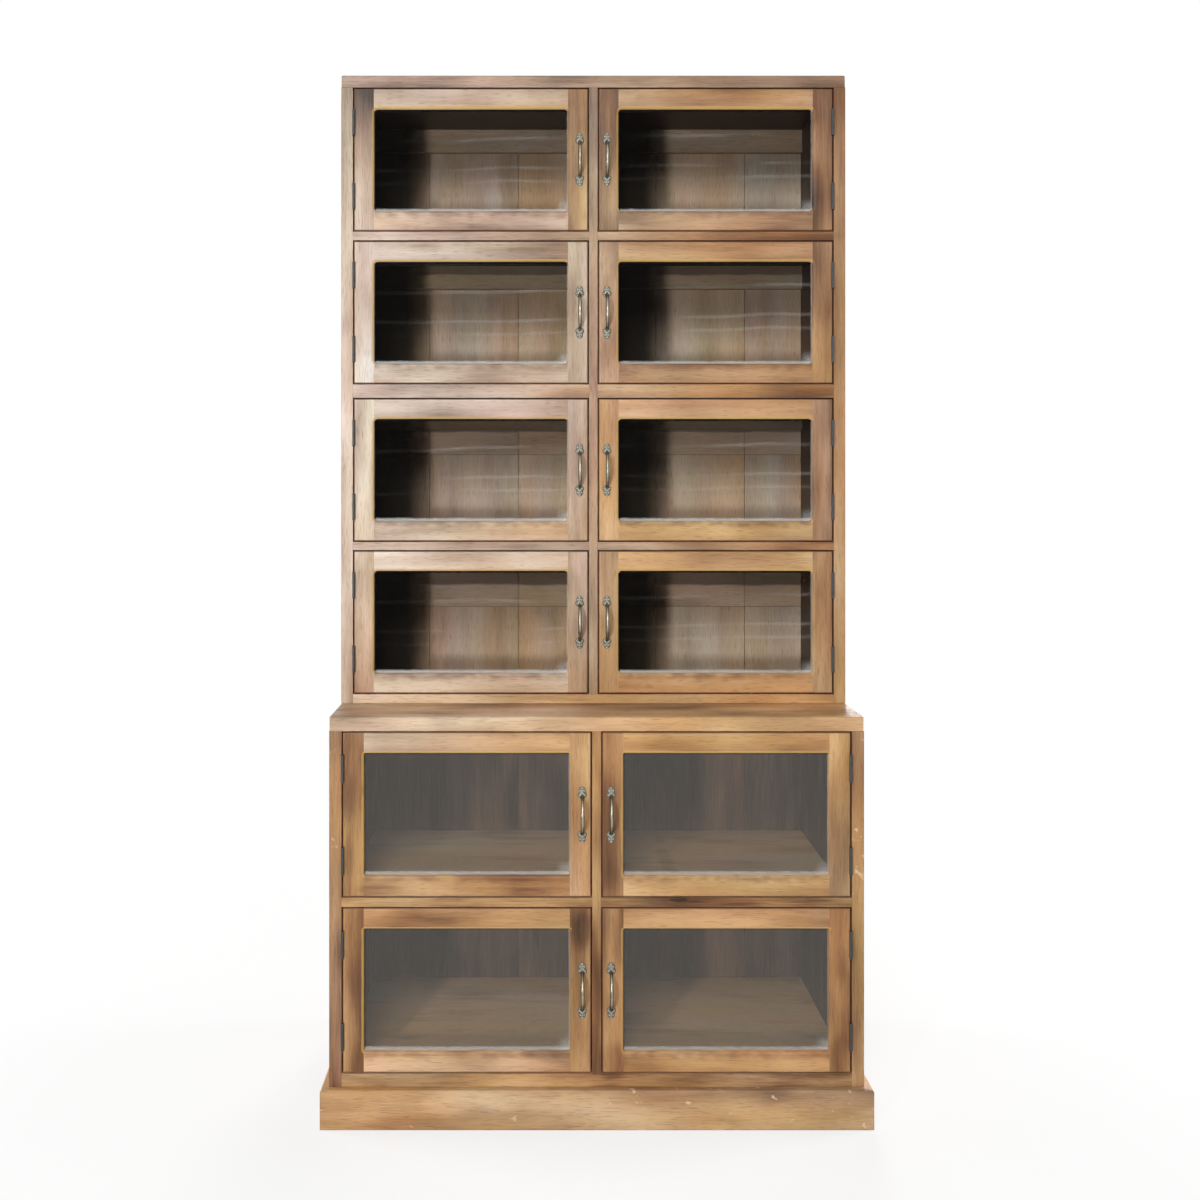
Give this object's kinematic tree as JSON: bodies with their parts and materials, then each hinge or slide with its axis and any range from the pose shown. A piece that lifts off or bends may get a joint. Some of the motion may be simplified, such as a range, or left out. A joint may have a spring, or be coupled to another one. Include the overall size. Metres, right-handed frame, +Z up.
{
  "type": "haberdashery cabinet",
  "caption": "Tall two-part haberdashery cabinet: rows of glazed doors with cast bow pulls, a set-back upper unit on a deeper base unit, and a projecting plinth.",
  "frame": {"origin": "on the floor, midway across the width and midway between the back face and the front of the lower pulls", "axes": "+Z up, the doors face -Y, +X to the right as seen from the front"},
  "size_m": [1.0668, 0.485, 2.0828],
  "materials": {
    "carcass_wood": "satin",
    "door_wood": "satin",
    "back_wood": "matte",
    "pane_glass": "gloss",
    "pull_brass": "satin",
    "hinge_iron": "satin",
    "catch_plastic": "matte"
  },
  "bodies": {
    "cabinet": {"plinth_front": "carcass_wood", "plinth_left": "carcass_wood", "plinth_right": "carcass_wood", "plinth_back": "carcass_wood", "plinth_corner_blocks": "back_wood", "base_left_side": "carcass_wood", "base_right_side": "carcass_wood", "base_bottom_board": "carcass_wood", "base_shelf": "carcass_wood", "base_divider": "carcass_wood", "base_ledge_top": "carcass_wood", "base_back_planks": "back_wood", "upper_left_side": "carcass_wood", "upper_right_side": "carcass_wood", "upper_bottom_board": "carcass_wood", "upper_shelves": "carcass_wood", "upper_divider": "carcass_wood", "upper_top_board": "carcass_wood", "upper_back_planks": "back_wood", "upper_back_rails": "back_wood", "hinge_frame_leaves": "hinge_iron", "door_catches": "catch_plastic"},
    "upper_left_door_1": {"upper_left_door_1_frame": "door_wood", "upper_left_door_1_glass": "pane_glass", "upper_left_door_1_fittings": "pull_brass"},
    "upper_right_door_1": {"upper_right_door_1_frame": "door_wood", "upper_right_door_1_glass": "pane_glass", "upper_right_door_1_fittings": "pull_brass"},
    "upper_left_door_2": {"upper_left_door_2_frame": "door_wood", "upper_left_door_2_glass": "pane_glass", "upper_left_door_2_fittings": "pull_brass"},
    "upper_right_door_2": {"upper_right_door_2_frame": "door_wood", "upper_right_door_2_glass": "pane_glass", "upper_right_door_2_fittings": "pull_brass"},
    "upper_left_door_3": {"upper_left_door_3_frame": "door_wood", "upper_left_door_3_glass": "pane_glass", "upper_left_door_3_fittings": "pull_brass"},
    "upper_right_door_3": {"upper_right_door_3_frame": "door_wood", "upper_right_door_3_glass": "pane_glass", "upper_right_door_3_fittings": "pull_brass"},
    "upper_left_door_4": {"upper_left_door_4_frame": "door_wood", "upper_left_door_4_glass": "pane_glass", "upper_left_door_4_fittings": "pull_brass"},
    "upper_right_door_4": {"upper_right_door_4_frame": "door_wood", "upper_right_door_4_glass": "pane_glass", "upper_right_door_4_fittings": "pull_brass"},
    "base_left_door_1": {"base_left_door_1_frame": "door_wood", "base_left_door_1_glass": "pane_glass", "base_left_door_1_fittings": "pull_brass"},
    "base_right_door_1": {"base_right_door_1_frame": "door_wood", "base_right_door_1_glass": "pane_glass", "base_right_door_1_fittings": "pull_brass"},
    "base_left_door_2": {"base_left_door_2_frame": "door_wood", "base_left_door_2_glass": "pane_glass", "base_left_door_2_fittings": "pull_brass"},
    "base_right_door_2": {"base_right_door_2_frame": "door_wood", "base_right_door_2_glass": "pane_glass", "base_right_door_2_fittings": "pull_brass"}
  },
  "joints": [
    {"name": "upper_left_door_1_hinge", "type": "hinge", "parent": "cabinet", "child": "upper_left_door_1", "pos_m": [-0.4919, -0.0777, 1.90983], "axis": [0, 0, -1], "range_deg": [0, 170]},
    {"name": "upper_right_door_1_hinge", "type": "hinge", "parent": "cabinet", "child": "upper_right_door_1", "pos_m": [0.4919, -0.0777, 1.90983], "axis": [0, 0, 1], "range_deg": [0, 170]},
    {"name": "upper_left_door_2_hinge", "type": "hinge", "parent": "cabinet", "child": "upper_left_door_2", "pos_m": [-0.4919, -0.0777, 1.59587], "axis": [0, 0, -1], "range_deg": [0, 170]},
    {"name": "upper_right_door_2_hinge", "type": "hinge", "parent": "cabinet", "child": "upper_right_door_2", "pos_m": [0.4919, -0.0777, 1.59587], "axis": [0, 0, 1], "range_deg": [0, 170]},
    {"name": "upper_left_door_3_hinge", "type": "hinge", "parent": "cabinet", "child": "upper_left_door_3", "pos_m": [-0.4919, -0.0777, 1.27192], "axis": [0, 0, -1], "range_deg": [0, 170]},
    {"name": "upper_right_door_3_hinge", "type": "hinge", "parent": "cabinet", "child": "upper_right_door_3", "pos_m": [0.4919, -0.0777, 1.27192], "axis": [0, 0, 1], "range_deg": [0, 170]},
    {"name": "upper_left_door_4_hinge", "type": "hinge", "parent": "cabinet", "child": "upper_left_door_4", "pos_m": [-0.4919, -0.0777, 0.95898], "axis": [0, 0, -1], "range_deg": [0, 170]},
    {"name": "upper_right_door_4_hinge", "type": "hinge", "parent": "cabinet", "child": "upper_right_door_4", "pos_m": [0.4919, -0.0777, 0.95898], "axis": [0, 0, 1], "range_deg": [0, 170]},
    {"name": "base_left_door_1_hinge", "type": "hinge", "parent": "cabinet", "child": "base_left_door_1", "pos_m": [-0.4919, -0.2177, 0.60275], "axis": [0, 0, -1], "range_deg": [0, 170]},
    {"name": "base_right_door_1_hinge", "type": "hinge", "parent": "cabinet", "child": "base_right_door_1", "pos_m": [0.4919, -0.2177, 0.60275], "axis": [0, 0, 1], "range_deg": [0, 170]},
    {"name": "base_left_door_2_hinge", "type": "hinge", "parent": "cabinet", "child": "base_left_door_2", "pos_m": [-0.4919, -0.2177, 0.26225], "axis": [0, 0, -1], "range_deg": [0, 170]},
    {"name": "base_right_door_2_hinge", "type": "hinge", "parent": "cabinet", "child": "base_right_door_2", "pos_m": [0.4919, -0.2177, 0.26225], "axis": [0, 0, 1], "range_deg": [0, 170]}
  ]
}
